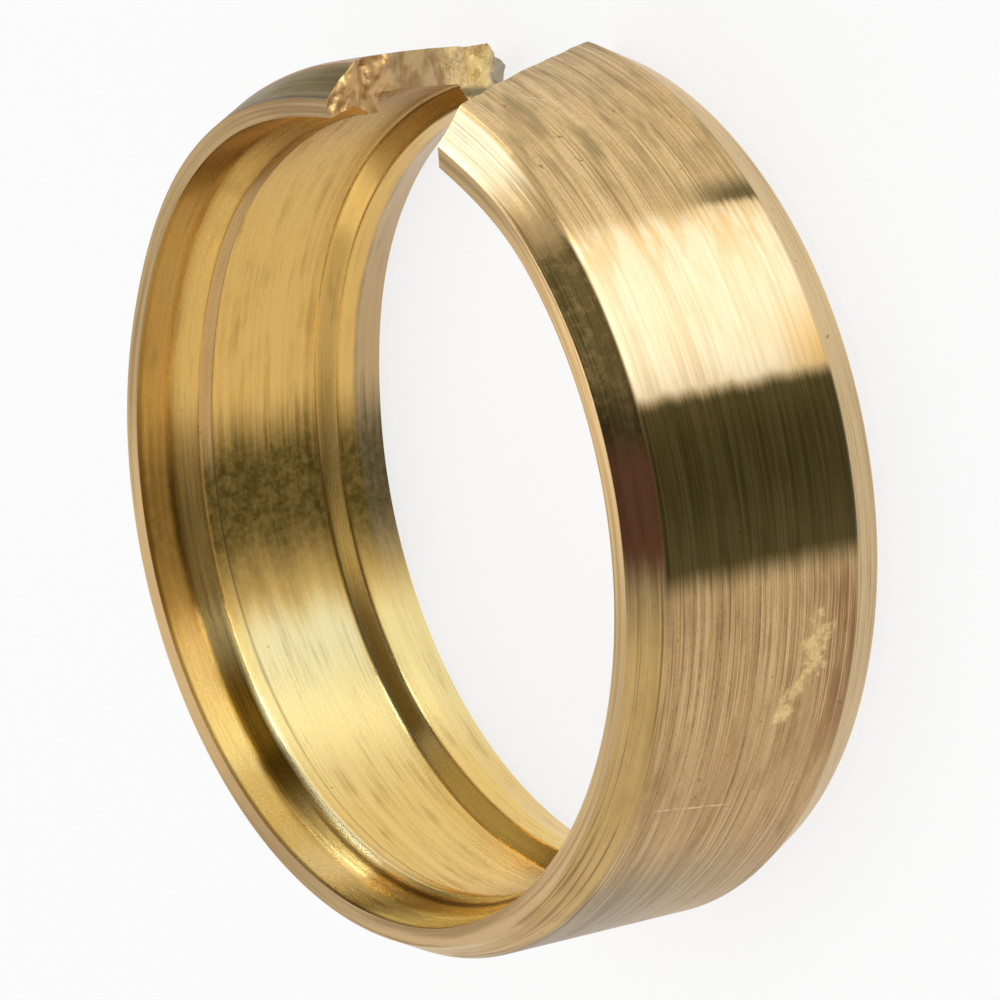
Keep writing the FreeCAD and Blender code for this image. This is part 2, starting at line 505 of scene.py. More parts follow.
# Band of painted dark reflection in the bore
GROOVE_DARK_REFLECTION_BAND = (89.0, 111.0, 6.0, 9.0)
# Band of painted highlight in the bore
BORE_HIGHLIGHT_BAND = (117.0, 142.0, 5.0, 14.0)
# Band of painted glint in the groove
BORE_GLINT = (117.0, 127.0, 4.0, 7.0)

# Angles between which one state of the metal turns into another, in degrees
SETTLED_BROWN_FADE = (232.0, 262.0)
BROWN_FADE = (262.0, 300.0)
SMOKED_FADE = (314.0, 328.0)
BLUSH_FADE = (264.0, 276.0)
BEVEL_GOLD_FADE = (262.0, 276.0)
# Fades of the warm and golden borders of the wall's painted highlight
WARM_FADE = (294.0, 308.0)
GOLDEN_FADE = (305.0, 315.0)
# Fades of the wall's painted dark reflection at its two ends
DARK_REFLECTION_FOOT_FADE = (268.0, 283.0)
DARK_REFLECTION_TOP_FADE = (286.0, 292.0)
# Fades of painted light that brightens the lower bore, and of the lip's painted highlight
BORE_LOWER_HALF = (100.0, 125.0)
LIP_YELLOW_FADE = (110.0, 150.0)
LIP_HIGHLIGHT_FADE = (150.0, 164.0)
CREST_PINK_FADE = (84.0, 98.0)
# Fade of the painted highlight along the upper rib's crest edge
CREST_HIGHLIGHT_FADE = (120.0, 138.0)
# Fades of the painted shade on the upper rib's flank
FLANK_SHADE_START = (104.0, 128.0)
FLANK_SHADE_STOP = (142.0, 164.0)
# Fade of the painted shadow line beside the upper rib
RIB_LINE_FADE = (136.0, 150.0)
# Fades of the painted shade on the lower rib's back
BACK_SHADE_START = (94.0, 122.0)
BACK_SHADE_STOP = (138.0, 150.0)
MOUTH_DARKENING_FADE = (60.0, 100.0)

# Heights on the outside between which a stretch fades, and breadths of a rim and of an end face's skin
RED_HEIGHTS = (1.1, 2.1)
# Heights over which the painted shade near the foot fades in
FOOT_SHADE_HEIGHTS = (1.0, 5.0)
WARM_HEIGHTS = (0.9, 2.4)
FRINGE_HEIGHTS = (1.3, 3.0)
RIM_BREADTH = 0.1
END_SKIN = 0.008

# Heights on the faces of the cut between which one colour turns into the next, and how far they stray
TORN_ORANGE_HEIGHTS = (3.8, 4.3)
TORN_LUMP_HEIGHTS = (1.9, 2.3)
TORN_GREY_HEIGHTS = (0.3, 0.7)
TORN_TIP_HEIGHTS = (0.3, 1.6)
# Heights of the painted highlight along the burr
TORN_BURR_HIGHLIGHT_HEIGHTS = (4.2, 5.0)
TORN_STRAY = 0.8

# Dark tool lines on the outer wall: height in millimetres, start and stop angle in degrees
DARK_LINES = ((4.17, 238.0, 272.0), (3.21, 230.0, 274.0), (5.1, 200.0, 262.0), (4.62, 240.0, 266.0))
DARK_LINE_BREADTH = 0.035
DARK_LINE_EDGE = 0.025
DARK_LINE_ENDS = 8.0

# Scratches across the outer wall: angle, height and half length in millimetres, slope in degrees
SCRATCHES = ((237.5, 4.0, 1.3, 9.0), (340.5, 3.85, 0.42, 38.0))
SCRATCH_WOBBLE = 0.08
SCRATCH_EDGES = (0.008, 0.028)

# Marks of the turning tool: pitch and run in millimetres, and octaves of noise
BROAD_LINES = (0.40, 9.0, 1.0)
MEDIUM_LINES = (0.09, 6.0, 3.0)
FINE_LINES = (0.028, 4.0, 1.0)
SMEARS = (0.34, 1.3, 2.0)
BEVEL_LINE_SLANT = 0.8

# Spots of dirt and wear, per metre
SPECKLES_PER_M = 4500.0
GRAINS_PER_M = 16000.0
BLOTCHES_PER_M = 2400.0
STAINS_PER_M = 1900.0

# How far the edges of the bands stray, in degrees, and the half width under which an edge counts as sharp
RAGGED_STRAY = 6.0
STEADY_STRAY = 1.5
SHARP_BAND_EDGE = 2.5

# Colours of the metal in its several states
WALL_TAN = (0.55, 0.362, 0.155, 1.0)
WALL_PALE = (0.70, 0.50, 0.240, 1.0)
WALL_BROWN = (0.36, 0.215, 0.090, 1.0)
WALL_BLUSH = (0.52, 0.300, 0.130, 1.0)
WALL_SMOKED = (0.30, 0.220, 0.090, 1.0)
WALL_REDDISH = (0.36, 0.195, 0.085, 1.0)
# Painted shade near the foot of the wall
WALL_PAINTED_SHADE = (0.25, 0.190, 0.125, 1.0)
# Painted dark reflection on the wall
WALL_PAINTED_DARK_REFLECTION = (0.040, 0.031, 0.005, 1.0)
# Painted highlight on the wall, and the colour of the scratches
WALL_HIGHLIGHT_AND_SCRATCH = (0.95, 0.82, 0.56, 1.0)
# Warm border of the wall's painted highlight
WALL_WARM = (0.80, 0.52, 0.200, 1.0)
# Painted glints along the tool lines
PAINTED_GLINT_LINES = (0.86, 0.65, 0.340, 1.0)
LINE_DARK = (0.18, 0.120, 0.050, 1.0)
SCUFF_BRIGHT = (0.86, 0.63, 0.290, 1.0)
# Painted dark reflection on the upper bevel
BEVEL_PAINTED_DARK_REFLECTION = (0.030, 0.021, 0.004, 1.0)
BEVEL_REDDISH = (0.20, 0.085, 0.040, 1.0)
BEVEL_LEFT_OLIVE = (0.26, 0.200, 0.065, 1.0)
BEVEL_GOLD = (0.62, 0.400, 0.135, 1.0)
BEVEL_FAR = (0.76, 0.58, 0.330, 1.0)
END_TAN = (0.70, 0.49, 0.240, 1.0)
LIP_ORANGE = (0.55, 0.325, 0.085, 1.0)
LIP_YELLOW = (0.82, 0.585, 0.180, 1.0)
GROOVE_GOLD = (0.75, 0.480, 0.145, 1.0)
GROOVE_YELLOW = (0.92, 0.65, 0.210, 1.0)
# Painted highlight in the bore
GROOVE_HIGHLIGHT = (1.0, 0.85, 0.400, 1.0)
# Painted glint in the bore, also along the upper rib's crest edge
GROOVE_GLINT = (1.0, 0.91, 0.530, 1.0)
CREST_PINK = (0.45, 0.290, 0.150, 1.0)
LAND_TAN = (0.54, 0.375, 0.180, 1.0)
BACK_GOLD = (0.80, 0.500, 0.100, 1.0)
# Painted dark reflection in the bore
BORE_PAINTED_DARK_REFLECTION = (0.062, 0.045, 0.007, 1.0)
# Brown of streaks and pits, and of the painted shade on the ribs
BORE_BROWN = (0.120, 0.060, 0.006, 1.0)
TORN_ORANGE = (0.66, 0.430, 0.185, 1.0)
TORN_DULL = (0.54, 0.390, 0.190, 1.0)
TORN_OLIVE = (0.17, 0.150, 0.080, 1.0)
TORN_BROWN = (0.36, 0.220, 0.095, 1.0)
TORN_GREY = (0.44, 0.38, 0.280, 1.0)
TORN_BRIGHT = (0.86, 0.66, 0.300, 1.0)

# How strongly the turned surfaces draw out their reflections across the tool lines
TURNED_ANISOTROPY = 0.88
TURNED_ROTATION = 0.25

# Relief of the turned and the torn metal: its strength, and its depth in millimetres
TURNED_BUMP = 0.4
TURNED_BUMP_DEPTH = 0.01
TORN_BUMP = 0.35
TORN_BUMP_DEPTH = 0.04


class RingShader(NodeTree):
    """Shader nodes of one finish, which know where a point of the metal lies on the ring."""

    def __init__(self, name):
        self.material = bpy.data.materials.new(name)
        self.material.use_nodes = True
        self.material.node_tree.nodes.clear()
        super().__init__(self.material.node_tree)
        self.place = self.node("ShaderNodeTexCoord").outputs["Object"]
        spot = self.node("ShaderNodeSeparateXYZ", {0: self.place}).outputs
        self.x = spot["X"]
        self.y = spot["Y"]
        self.height = spot["Z"]
        degrees = self.math("DEGREES", self.math("ARCTAN2", self.y, self.x))
        self.turn = self.math("FLOORED_MODULO", degrees, 360.0)
        self.radius = self.mark("section_radius")
        self.broad = self.tool_lines(*BROAD_LINES)
        self.medium = self.tool_lines(*MEDIUM_LINES)
        self.fine = self.tool_lines(*FINE_LINES)
        self.smears = self.tool_lines(*SMEARS)
        self.speckle = self.noise(self.place, SPECKLES_PER_M, 2.0, 0.7)
        self.grain = self.noise(self.place, GRAINS_PER_M, 1.0, 0.6)
        stray = self.minus(self.plus(self.medium, self.broad), 1.0)
        self.ragged_turn = self.plus(self.turn, self.times(stray, RAGGED_STRAY))
        self.steady_turn = self.plus(self.turn, self.times(stray, STEADY_STRAY))

    def mark(self, name):
        """A value that the rolling tree stored on the mesh."""
        return self.node("ShaderNodeAttribute", attribute_name=name).outputs["Fac"]

    def tool_lines(self, pitch, run, octaves):
        """Lines that run round the ring: a pitch across them and a run along them, in millimetres."""
        aslant = self.math("MULTIPLY_ADD", self.radius, BEVEL_LINE_SLANT, self.height)
        across = self.math("DIVIDE", aslant, pitch * MM)
        along_x = self.math("DIVIDE", self.x, run * MM)
        along_y = self.math("DIVIDE", self.y, run * MM)
        return self.noise(self.vector(along_x, along_y, across), 1.0, octaves, 0.6)

    def both(self, *masks):
        """What lies under every one of the masks."""
        return self.times(*masks)

    def either(self, *masks):
        """What lies under any of the masks."""
        return self.most(*masks)

    def without(self, mask):
        return self.minus(1.0, mask)

    def band(self, limits):
        """One between two angles: a sharp edge runs straight, a soft one is ragged."""
        start, stop, start_edge, stop_edge = limits
        start_turn = self.steady_turn if start_edge < SHARP_BAND_EDGE else self.ragged_turn
        stop_turn = self.steady_turn if stop_edge < SHARP_BAND_EDGE else self.ragged_turn
        rise = self.ramp(start_turn, start - start_edge, start + start_edge)
        fall = self.ramp(stop_turn, stop - stop_edge, stop + stop_edge, 1.0, 0.0)
        return self.both(rise, fall)

    def fade(self, angles, start=0.0, stop=1.0):
        """Smooth step between two angles."""
        return self.ramp(self.turn, *angles, start, stop)

    def risen(self, low, high, start=0.0, stop=1.0):
        """Smooth step between two heights in millimetres."""
        return self.ramp(self.height, low * MM, high * MM, start, stop)

    def above(self, size, edge=0.03):
        """One at heights over a size in millimetres."""
        return self.risen(size - edge, size + edge)

    def below(self, size, edge=0.03):
        """One at heights under a size in millimetres."""
        return self.risen(size - edge, size + edge, 1.0, 0.0)

    def between(self, low, high, edge=0.03):
        """One at heights between two sizes in millimetres."""
        return self.both(self.above(low, edge), self.below(high, edge))

    def mixed(self, amount, one, other):
        """One colour turning into another."""
        node = self.node("ShaderNodeMix", {"Factor": amount}, data_type="RGBA")
        self.put(node.inputs[6], one)
        self.put(node.inputs[7], other)
        return node.outputs[2]

    def bump(self, strength, depth, relief):
        """Normal of a relief whose depth is in millimetres."""
        inputs = {"Strength": strength, "Distance": depth * MM, "Height": relief}
        return self.node("ShaderNodeBump", inputs).outputs[0]

    def metal(self, inputs):
        """End the finish as bare metal."""
        shader = self.node("ShaderNodeBsdfPrincipled", {"Metallic": 1.0, **inputs})
        self.node("ShaderNodeOutputMaterial", {"Surface": shader.outputs[0]})
        return self.material

    def turned_metal(self, colour, rough, relief):
        """End the finish as turned metal, which draws out reflections across its tool lines."""
        return self.metal({
            "Base Color": colour,
            "Roughness": rough,
            "Normal": self.bump(TURNED_BUMP, TURNED_BUMP_DEPTH, relief),
            "Tangent": self.node("ShaderNodeTangent", direction_type="RADIAL", axis="Z").outputs[0],
            "Anisotropic": TURNED_ANISOTROPY,
            "Anisotropic Rotation": TURNED_ROTATION,
        })


def film_colour(t, wall):
    """Film on the outside: tan streaks, brown and smoky smears, a red stretch, a grey stretch of painted
    shade near the foot, and thin bright lines of painted glint.
    """
    streaks = t.ramp(t.math("MULTIPLY_ADD", t.broad, 0.5, t.medium), 0.58, 0.92)
    colour = t.mixed(streaks, WALL_PALE, WALL_TAN)
    smeared = t.ramp(t.smears, 0.42, 0.74, 0.0, 0.75)
    brown = t.either(smeared, t.both(wall, t.fade(SETTLED_BROWN_FADE, 0.3, 0.0)))
    colour = t.mixed(t.both(brown, t.fade(BROWN_FADE, 1.0, 0.3)), colour, WALL_BROWN)
    colour = t.mixed(t.both(smeared, t.fade(SMOKED_FADE)), colour, WALL_SMOKED)
    colour = t.mixed(t.both(wall, t.fade(BLUSH_FADE, 0.3, 0.0)), colour, WALL_BLUSH)
    red = t.both(t.band(WALL_RED), t.risen(*RED_HEIGHTS, 1.0, 0.0), t.ramp(t.smears, 0.35, 0.6, 0.5, 0.95))
    colour = t.mixed(t.both(wall, red), colour, WALL_REDDISH)
    # Painted shade near the foot of the wall
    foot_shade = t.both(t.band(WALL_FOOT_SHADE_BAND), t.risen(*FOOT_SHADE_HEIGHTS, 0.2, 0.85))
    colour = t.mixed(t.both(wall, foot_shade), colour, WALL_PAINTED_SHADE)
    colour = t.mixed(t.ramp(t.grain, 0.42, 0.72, 0.0, 0.3), colour, WALL_BROWN)
    # Thin bright lines of painted glint along the tool lines
    return t.mixed(t.ramp(t.fine, 0.28, 0.46, 0.55, 0.0), colour, PAINTED_GLINT_LINES)


def with_dark_lines(t, colour, highlight_band):
    """Fine dark tool lines, pits and a few strong lines, everywhere but on the wall's painted highlight.
    """
    lines = t.either(t.ramp(t.fine, 0.56, 0.70, 0.0, 0.6), t.ramp(t.speckle, 0.69, 0.77, 0.0, 0.8))
    for height, start, stop in DARK_LINES:
        line = t.both(t.between(height, height + DARK_LINE_BREADTH, DARK_LINE_EDGE),
                      t.band((start, stop, DARK_LINE_ENDS, DARK_LINE_ENDS)))
        lines = t.either(lines, t.both(line, t.ramp(t.speckle, 0.3, 0.65, 0.95, 0.4)))
    return t.mixed(t.both(lines, t.without(highlight_band)), colour, LINE_DARK)


def with_painted_highlights(t, colour, wall, near_bevel, highlight_band):
    """Painted highlights on stretches of the wall and the upper bevel, the wall's one warmer along its
    borders.
    """
    warm = t.both(t.fade(WARM_FADE, 1.0, 0.0), t.risen(*WARM_HEIGHTS, 1.0, 0.0))
    golden = t.both(t.fade(GOLDEN_FADE, 0.3, 0.8), t.ramp(t.smears, 0.4, 0.6, 0.2, 1.0))
    bright = t.mixed(t.both(wall, t.either(warm, golden)), WALL_HIGHLIGHT_AND_SCRATCH, WALL_WARM)
    # Painted highlights on the wall and the upper bevel, streaked by the tool lines
    wall_highlight = t.both(highlight_band, t.ramp(t.medium, 0.35, 0.7, 0.95, 0.6))
    bevel_highlight = t.both(near_bevel, t.band(BEVEL_HIGHLIGHT_BAND), t.ramp(t.medium, 0.35, 0.7, 0.97, 0.7))
    return t.mixed(t.either(wall_highlight, bevel_highlight), colour, bright)


def with_painted_shade_and_dark_bands(t, colour, wall, near_bevel):
    """Painted dark reflections as olive stretches of the wall and the upper bevel, with a fringe past the
    wall's painted highlight; a reddish stretch, and a film left of the cut.
    """
    dull = t.ramp(t.medium, 0.35, 0.65, 0.99, 0.90)
    fading = t.both(t.fade(DARK_REFLECTION_FOOT_FADE, 0.93, 1.0), t.fade(DARK_REFLECTION_TOP_FADE, 1.0, 0.96))
    # Painted dark reflections on the wall: a band, and a fringe past the painted highlight
    colour = t.mixed(t.both(wall, t.band(WALL_DARK_REFLECTION_BAND), dull, fading), colour, WALL_PAINTED_DARK_REFLECTION)
    fringe = t.both(t.band(WALL_DARK_REFLECTION_FRINGE), t.risen(*FRINGE_HEIGHTS, 0.8, 0.0))
    colour = t.mixed(t.both(wall, fringe), colour, WALL_PAINTED_DARK_REFLECTION)
    # Painted dark reflection on the upper bevel, mottled
    mottled = t.both(dull, t.ramp(t.speckle, 0.36, 0.55, 0.93, 1.0))
    colour = t.mixed(t.both(near_bevel, t.band(BEVEL_DARK_REFLECTION_BAND), mottled), colour, BEVEL_PAINTED_DARK_REFLECTION)
    colour = t.mixed(t.both(near_bevel, t.band(BEVEL_RED)), colour, BEVEL_REDDISH)
    bevel_rim = t.above(RING_WIDTH - RIM_BREADTH, 0.05)
    left_olive = t.mixed(bevel_rim, BEVEL_LEFT_OLIVE, LINE_DARK)
    left_film = t.both(near_bevel, t.band(BEVEL_LEFT_DULL), t.either(0.8, bevel_rim))
    return t.mixed(left_film, colour, left_olive)


def scratch_mask(t, angle, height, half_length, slope):
    """Thin line across the wall, along the axis but for its slope."""
    round_off = t.times(t.minus(t.turn, angle), math.radians(OUTER_RADIUS))
    up_off = t.minus(t.math("DIVIDE", t.height, MM), height)
    lean = math.radians(slope)
    along = t.math("MULTIPLY_ADD", up_off, math.cos(lean), t.times(round_off, math.sin(lean)))
    aside = t.math("MULTIPLY_ADD", round_off, math.cos(lean), t.times(up_off, -math.sin(lean)))
    wobbly = t.minus(t.math("MULTIPLY_ADD", t.speckle, SCRATCH_WOBBLE, aside), SCRATCH_WOBBLE / 2)
    thin = t.ramp(t.math("ABSOLUTE", wobbly), *SCRATCH_EDGES, 1.0, 0.0)
    return t.both(thin, t.ramp(t.math("ABSOLUTE", along), 0.6 * half_length, half_length, 1.0, 0.0))


def with_scratches(t, colour, wall):
    """Thin bright scratches across the wall."""
    for scratch in SCRATCHES:
        worn = t.both(wall, scratch_mask(t, *scratch), t.ramp(t.speckle, 0.4, 0.6, 0.1, 0.5))
        colour = t.mixed(worn, colour, WALL_HIGHLIGHT_AND_SCRATCH)
    return colour


def with_scuffs(t, colour, dented):
    """Ragged bright scuffs in the dent, with brown edges."""
    blotches = t.noise(t.place, BLOTCHES_PER_M, 3.0, 0.65)
    ragged = t.math("MULTIPLY_ADD", blotches, 3.2, t.times(t.smears, 0.6))
    scuffs = t.both(t.ramp(t.plus(ragged, dented), 2.2, 2.95), t.ramp(dented, 0.05, 0.35))
    colour = t.mixed(t.both(scuffs, t.without(scuffs), 1.2), colour, WALL_BROWN)
    return t.mixed(t.both(scuffs, t.ramp(t.grain, 0.35, 0.6, 0.5, 0.95)), colour, SCUFF_BRIGHT)


def with_end_faces(t, colour):
    """Tan end faces with a brown film."""
    ends = t.either(t.below(END_SKIN, END_SKIN / 2), t.above(RING_WIDTH - END_SKIN, END_SKIN / 2))
    film = t.either(t.ramp(t.medium, 0.4, 0.65, 0.0, 0.6), t.both(t.band(END_DULL), 0.45))
    return t.mixed(ends, colour, t.mixed(film, END_TAN, WALL_BROWN))


def wall_colour(t, dented):
    """Outer wall, bevels and end faces: a film, then painted highlights and dark reflections, and what
    wear and tarnish put on it.
    """
    wall = t.ramp(t.radius, (OUTER_RADIUS - 3 * WALL_SKIN) * MM, (OUTER_RADIUS - WALL_SKIN) * MM)
    bevels = t.without(wall)
    near_bevel = t.both(bevels, t.above(RING_WIDTH - UPPER_BEVEL))
    highlight_band = t.both(wall, t.band(WALL_HIGHLIGHT_BAND))
    colour = film_colour(t, wall)
    colour = t.mixed(t.both(bevels, t.below(LOWER_BEVEL), 0.6), colour, BEVEL_FAR)
    colour = t.mixed(t.both(near_bevel, t.fade(BEVEL_GOLD_FADE, 0.6, 0.0)), colour, BEVEL_GOLD)
    colour = with_dark_lines(t, colour, highlight_band)
    colour = with_painted_highlights(t, colour, wall, near_bevel, highlight_band)
    colour = with_painted_shade_and_dark_bands(t, colour, wall, near_bevel)
    colour = with_scratches(t, colour, wall)
    colour = with_scuffs(t, colour, dented)
    return with_end_faces(t, colour)


def wall_material():
    """Outside of the ring: turned brass with circular tool lines, painted highlights, painted dark
    reflections and some tarnish in bands, and a scuffed dent.
    """
    t = RingShader("turned_brass")
    dented = t.mark("dented")
    rough = t.plus(t.ramp(t.medium, 0.3, 0.7, 0.32, 0.40), t.ramp(t.smears, 0.5, 0.75, 0.0, 0.05))
    knocks = t.both(dented, t.speckle, 4.0)
    relief = t.plus(t.math("MULTIPLY_ADD", t.fine, 0.5, t.medium), knocks)
    return t.turned_metal(wall_colour(t, dented), rough, relief)


def bore_film(t):
    """Film in the bore: an orange lip, and a golden groove and land, with painted light that brightens
    them lower down, painted highlights on the lip and groove, and a painted glint in the groove.
    """
    lower_half = t.fade(BORE_LOWER_HALF)
    groove = t.mixed(lower_half, GROOVE_GOLD, GROOVE_YELLOW)
    land = t.mixed(lower_half, LAND_TAN, GROOVE_YELLOW)
    lip = t.mixed(t.fade(LIP_YELLOW_FADE), LIP_ORANGE, LIP_YELLOW)
    lip = t.mixed(t.fade(LIP_HIGHLIGHT_FADE), lip, GROOVE_HIGHLIGHT)
    colour = t.mixed(t.above(LIP_FOOT - 0.1, 0.2), groove, lip)
    colour = t.mixed(t.below(LOWER_FLARE + 0.05, 0.05), colour, land)
    # Painted highlight in the bore, then a painted glint in the groove
    bright = t.both(t.band(BORE_HIGHLIGHT_BAND), t.risen(LIP_FOOT - 0.2, LIP_FOOT, 1.0, 0.25))
    colour = t.mixed(t.both(bright, t.ramp(t.medium, 0.3, 0.7, 0.95, 0.7)), colour, GROOVE_HIGHLIGHT)
    glint = t.both(t.band(BORE_GLINT), t.between(GROOVE_FOOT, UPPER_CREST_FOOT, 0.2))
    colour = t.mixed(t.both(glint, 0.8), colour, GROOVE_GLINT)
    streaks = t.both(t.ramp(t.medium, 0.35, 0.65), t.ramp(t.smears, 0.45, 0.7, 0.0, 0.22))
    return t.mixed(streaks, colour, BORE_BROWN)


def with_painted_dark_reflection(t, colour):
    """Mottled olive patch of painted dark reflection in the bore, weaker on the flanks of the ribs and on
    the lip.
    """
    mottle = t.math("MULTIPLY_ADD", t.speckle, 0.75, t.times(t.grain, 0.25))
    olive = t.both(t.band(GROOVE_DARK_REFLECTION_BAND), t.ramp(mottle, 0.32, 0.66, 0.80, 0.97))
    upper_flank = t.between(UPPER_CREST_TOP, LIP_FOOT - 0.05, 0.1)
    lower_back = t.between(LOWER_CREST_TOP, GROOVE_FOOT, 0.05)
    olive = t.both(olive, t.without(t.both(upper_flank, 0.9)), t.without(t.both(lower_back, 0.7)))
    return t.mixed(t.both(olive, t.risen(LIP_FOOT, LIP_FOOT + 0.2, 1.0, 0.6)), colour, BORE_PAINTED_DARK_REFLECTION)


def with_rib_tints_and_highlight(t, colour):
    """Upper rib's crest, pinkish and then, lower down, a painted highlight along its edge, and the lower
    rib's golden back.
    """
    crest = t.between(UPPER_CREST_FOOT, UPPER_CREST_TOP, 0.06)
    colour = t.mixed(t.both(crest, t.fade(CREST_PINK_FADE, 0.6, 0.0)), colour, CREST_PINK)
    # Painted highlight along the upper rib's crest edge
    crest_edge = t.between(UPPER_CREST_TOP - 0.08, UPPER_CREST_TOP + 0.10)
    colour = t.mixed(t.both(crest_edge, t.fade(CREST_HIGHLIGHT_FADE, 0.0, 0.9)), colour, GROOVE_GLINT)
    lower_back = t.between(LOWER_CREST_TOP, GROOVE_FOOT, 0.08)
    return t.mixed(t.both(lower_back, t.fade(BACK_SHADE_STOP, 0.0, 0.9)), colour, BACK_GOLD)


def with_rib_shade_and_pits(t, colour):
    """Brown painted shade on the flanks and backs of the ribs with a painted shadow line beside the upper
    rib, and brown in the mouth of the bore and in pits.
    """
    # Painted shade on the ribs' flanks and backs, and a painted shadow line beside the upper rib
    flank = t.both(t.between(UPPER_CREST_TOP + 0.05, LIP_FOOT + 0.05, 0.1),
                   t.fade(FLANK_SHADE_START), t.fade(FLANK_SHADE_STOP, 1.0, 0.0))
    rib_line = t.both(t.between(UPPER_CREST_TOP + 0.14, UPPER_CREST_TOP + 0.26, 0.04),
                      t.fade(RIB_LINE_FADE, 0.0, 0.8))
    upper_back = t.both(t.between(GROOVE_TOP - 0.05, UPPER_CREST_FOOT, 0.08), 0.5)
    lower_back = t.both(t.between(LOWER_CREST_TOP, GROOVE_FOOT, 0.08),
                        t.fade(BACK_SHADE_START, 0.2, 0.97), t.fade(BACK_SHADE_STOP, 1.0, 0.0))
    mouth = t.both(t.above(RING_WIDTH - RIM_BREADTH, 0.04), t.fade(MOUTH_DARKENING_FADE, 0.2, 0.75))
    pits = t.ramp(t.speckle, 0.72, 0.80, 0.0, 0.6)
    return t.mixed(t.either(flank, rib_line, mouth, upper_back, lower_back, pits), colour, BORE_BROWN)


def bore_material():
    """Inside of the ring: turned brass, smoother and more golden than the outside."""
    t = RingShader("bored_brass")
    colour = with_rib_shade_and_pits(t, with_rib_tints_and_highlight(t, with_painted_dark_reflection(t, bore_film(t))))
    rough = t.plus(t.ramp(t.medium, 0.3, 0.7, 0.22, 0.30), t.ramp(t.smears, 0.5, 0.75, 0.0, 0.05))
    return t.turned_metal(colour, rough, t.math("MULTIPLY_ADD", t.fine, 0.5, t.medium))


def torn_colour(t):
    """Faces of the cut: orange torn metal, a duller stretch, a bright lump low down, a grey edge, and a
    painted highlight along the burr at the upper bevel.
    """
    height = t.minus(t.math("DIVIDE", t.height, MM), TORN_STRAY / 2)
    height = t.math("MULTIPLY_ADD", t.speckle, TORN_STRAY, height)
    stain = t.ramp(t.noise(t.place, STAINS_PER_M, 2.0, 0.6), 0.40, 0.66)
    orange = t.mixed(t.both(stain, 0.75), TORN_ORANGE, TORN_BROWN)
    dull = t.mixed(stain, TORN_DULL, TORN_BROWN)
    colour = t.mixed(t.ramp(height, *TORN_ORANGE_HEIGHTS), dull, orange)
    lump = t.mixed(t.both(stain, t.ramp(t.grain, 0.4, 0.6, 0.4, 1.0)), TORN_BRIGHT, TORN_DULL)
    colour = t.mixed(t.ramp(height, *TORN_LUMP_HEIGHTS, 1.0, 0.0), colour, lump)
    rib_tip = t.ramp(t.radius, (GROOVE_RADIUS - 0.15) * MM, GROOVE_RADIUS * MM, 1.0, 0.0)
    colour = t.mixed(t.both(t.between(*TORN_TIP_HEIGHTS, 0.1), rib_tip, 0.8), colour, TORN_OLIVE)
    colour = t.mixed(t.ramp(height, *TORN_GREY_HEIGHTS, 1.0, 0.0), colour, TORN_GREY)
    up_bevel = t.minus(t.height, (RING_WIDTH - UPPER_BEVEL) * MM)
    bevel_line = t.math("MULTIPLY_ADD", up_bevel, BEVEL_SLOPE, t.radius)
    # Painted highlight along the burr at the upper bevel
    burr_highlight = t.ramp(bevel_line, (OUTER_RADIUS - 0.12) * MM, (OUTER_RADIUS - 0.05) * MM)
    return t.mixed(t.both(burr_highlight, t.risen(*TORN_BURR_HIGHLIGHT_HEIGHTS), 0.8), colour, TORN_BRIGHT)


def torn_material():
    """Faces of the cut: raw metal, torn rather than sawn."""
    t = RingShader("torn_brass")
    return t.metal({
        "Base Color": torn_colour(t),
        "Roughness": t.ramp(t.grain, 0.3, 0.7, 0.40, 0.56),
        "Normal": t.bump(TORN_BUMP, TORN_BUMP_DEPTH, t.speckle),
    })


# Studio: the floor's size in metres, colour and whiteness, and the light all round
FLOOR_SIZE = 1.2
FLOOR_COLOUR = (0.92, 0.92, 0.92, 1.0)
FLOOR_WHITE = 0.8
WHITE = (1.0, 1.0, 1.0, 1.0)
WORLD_STRENGTH = 0.12

# Softboxes: azimuth and elevation in degrees, distance, width and height in metres, and radiance
SOFTBOXES = {
    "key_softbox": (-37.0, 5.0, 0.40, 0.32, 0.07, 11.0),
    "end_softbox": (11.0, 5.0, 0.40, 0.32, 0.07, 5.8),
    "top_softbox": (60.0, 80.0, 0.50, 0.34, 0.34, 3.4),
    "rib_softbox": (40.0, 41.0, 0.50, 0.34, 0.24, 0.35),
    "back_fill": (140.0, 30.0, 0.50, 0.70, 0.45, 0.9),
    "side_fill": (-150.0, 38.0, 0.50, 0.70, 0.60, 0.8),
}


def paper_material():
    """Paper that looks white to the camera and in the metal, and still shows part of the ring's shadow."""
    material = bpy.data.materials.new("white_paper")
    material.use_nodes = True
    material.node_tree.nodes.clear()
    t = NodeTree(material.node_tree)
    ray = t.node("ShaderNodeLightPath").outputs
    seen = t.most(ray["Is Camera Ray"], ray["Is Glossy Ray"], ray["Is Transmission Ray"])
    lit = t.node("ShaderNodeBsdfDiffuse", {"Color": FLOOR_COLOUR}).outputs[0]
    white = t.node("ShaderNodeEmission", {"Color": WHITE, "Strength": 1.0}).outputs[0]
    paper = t.node("ShaderNodeMixShader", {0: t.times(seen, FLOOR_WHITE), 1: lit, 2: white})
    t.node("ShaderNodeOutputMaterial", {"Surface": paper.outputs[0]})
    return material


def floor():
    """Plain pale floor under the ring."""
    half = FLOOR_SIZE / 2
    corners = [(-half, -half, 0), (half, -half, 0), (half, half, 0), (-half, half, 0)]
    mesh = bpy.data.meshes.new("studio_floor")
    mesh.from_pydata(corners, [], [(0, 1, 2, 3)])
    mesh.materials.append(paper_material())
    sheet = bpy.data.objects.new("studio_floor", mesh)
    bpy.context.scene.collection.objects.link(sheet)


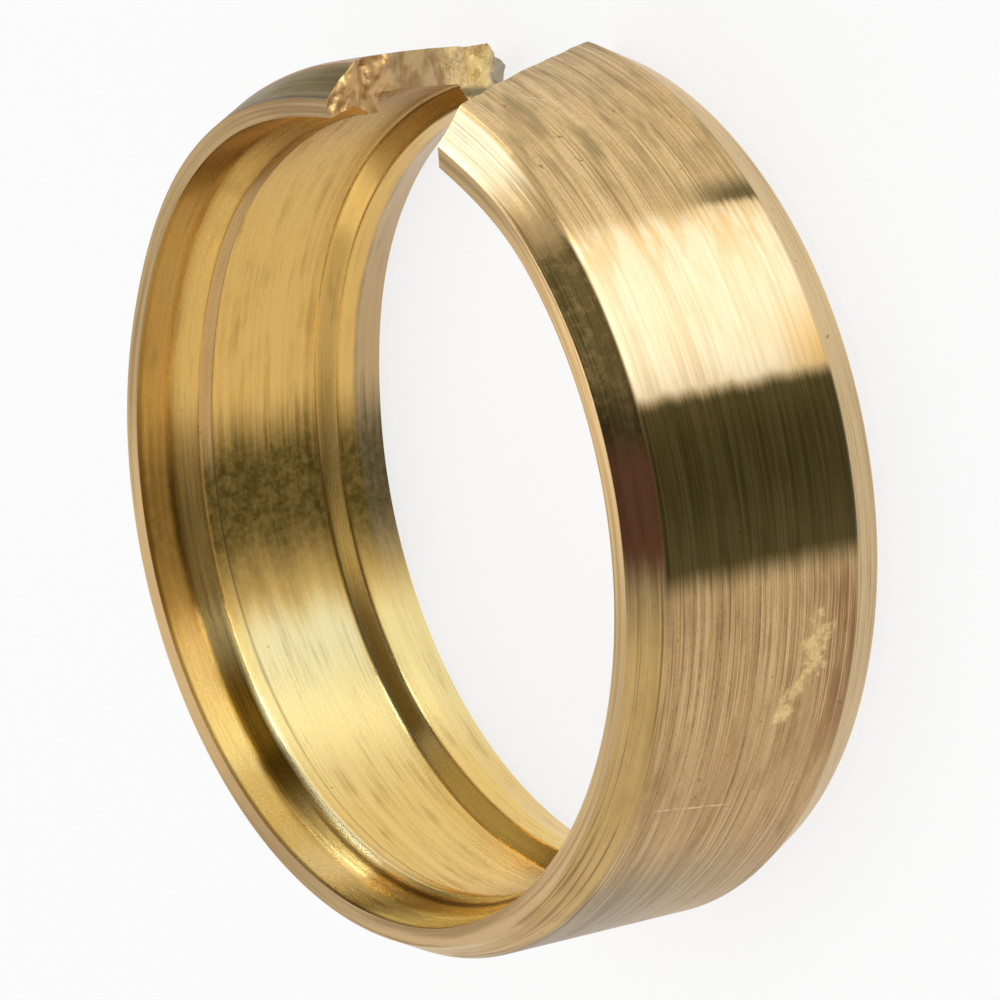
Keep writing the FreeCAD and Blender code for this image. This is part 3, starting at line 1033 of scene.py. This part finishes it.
def towards(azimuth, elevation):
    """Unit vector at an azimuth from +X and an elevation above the floor, in degrees."""
    turn = math.radians(azimuth)
    rise = math.radians(elevation)
    return Vector((math.cos(rise) * math.cos(turn), math.cos(rise) * math.sin(turn), math.sin(rise)))


def softbox(name, azimuth, elevation, distance, width, tall, radiance):
    """Rectangular lamp that faces the ring, as bright as a surface of the given radiance."""
    lamp = bpy.data.lights.new(name, "AREA")
    lamp.shape = "RECTANGLE"
    lamp.size = width
    lamp.size_y = tall
    lamp.energy = radiance * math.pi * width * tall
    holder = bpy.data.objects.new(name, lamp)
    away = towards(azimuth, elevation)
    holder.location = away * distance
    holder.rotation_euler = away.to_track_quat("Z", "Y").to_euler()
    bpy.context.scene.collection.objects.link(holder)


def lights():
    """Low softboxes beside the ring, soft ones above it, weak ones behind, and faint light all round."""
    for name, setting in SOFTBOXES.items():
        softbox(name, *setting)
    world = bpy.data.worlds.new("studio")
    world.use_nodes = True
    background = world.node_tree.nodes["Background"]
    background.inputs["Color"].default_value = WHITE
    background.inputs["Strength"].default_value = WORLD_STRENGTH
    bpy.context.scene.world = world


# Camera, measured from the edges of the ring in the photograph: degrees, and millimetres from the origin
CAMERA_AZIMUTH = -74.19
CAMERA_ELEVATION = 33.99
CAMERA_ROLL = 101.62
CAMERA_DISTANCE = 158.9
CAMERA_AIM = (0.25, -1.515, 3.937)
CAMERA_LENS = 283.5
CAMERA_CLIP_START = 0.01
SENSOR = 36.0


def camera():
    """Camera that looks down on the ring, rolled so that the cut is at the top of the picture."""
    view = bpy.data.cameras.new("photo_camera")
    view.lens = CAMERA_LENS
    view.sensor_width = SENSOR
    view.clip_start = CAMERA_CLIP_START
    holder = bpy.data.objects.new("photo_camera", view)
    back = towards(CAMERA_AZIMUTH, CAMERA_ELEVATION)
    upright = back.to_track_quat("Z", "Y").to_matrix()
    turned = upright @ Matrix.Rotation(-math.radians(CAMERA_ROLL), 3, "Z")
    aim = Vector(CAMERA_AIM) * MM
    holder.matrix_world = Matrix.Translation(aim + back * CAMERA_DISTANCE * MM) @ turned.to_4x4()
    bpy.context.scene.collection.objects.link(holder)
    bpy.context.scene.camera = holder


def main():
    bpy.context.scene.view_settings.view_transform = "Standard"
    ring = rolled_ring()
    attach(ring, "root")
    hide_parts(NODE)
    floor()
    lights()
    camera()


main()
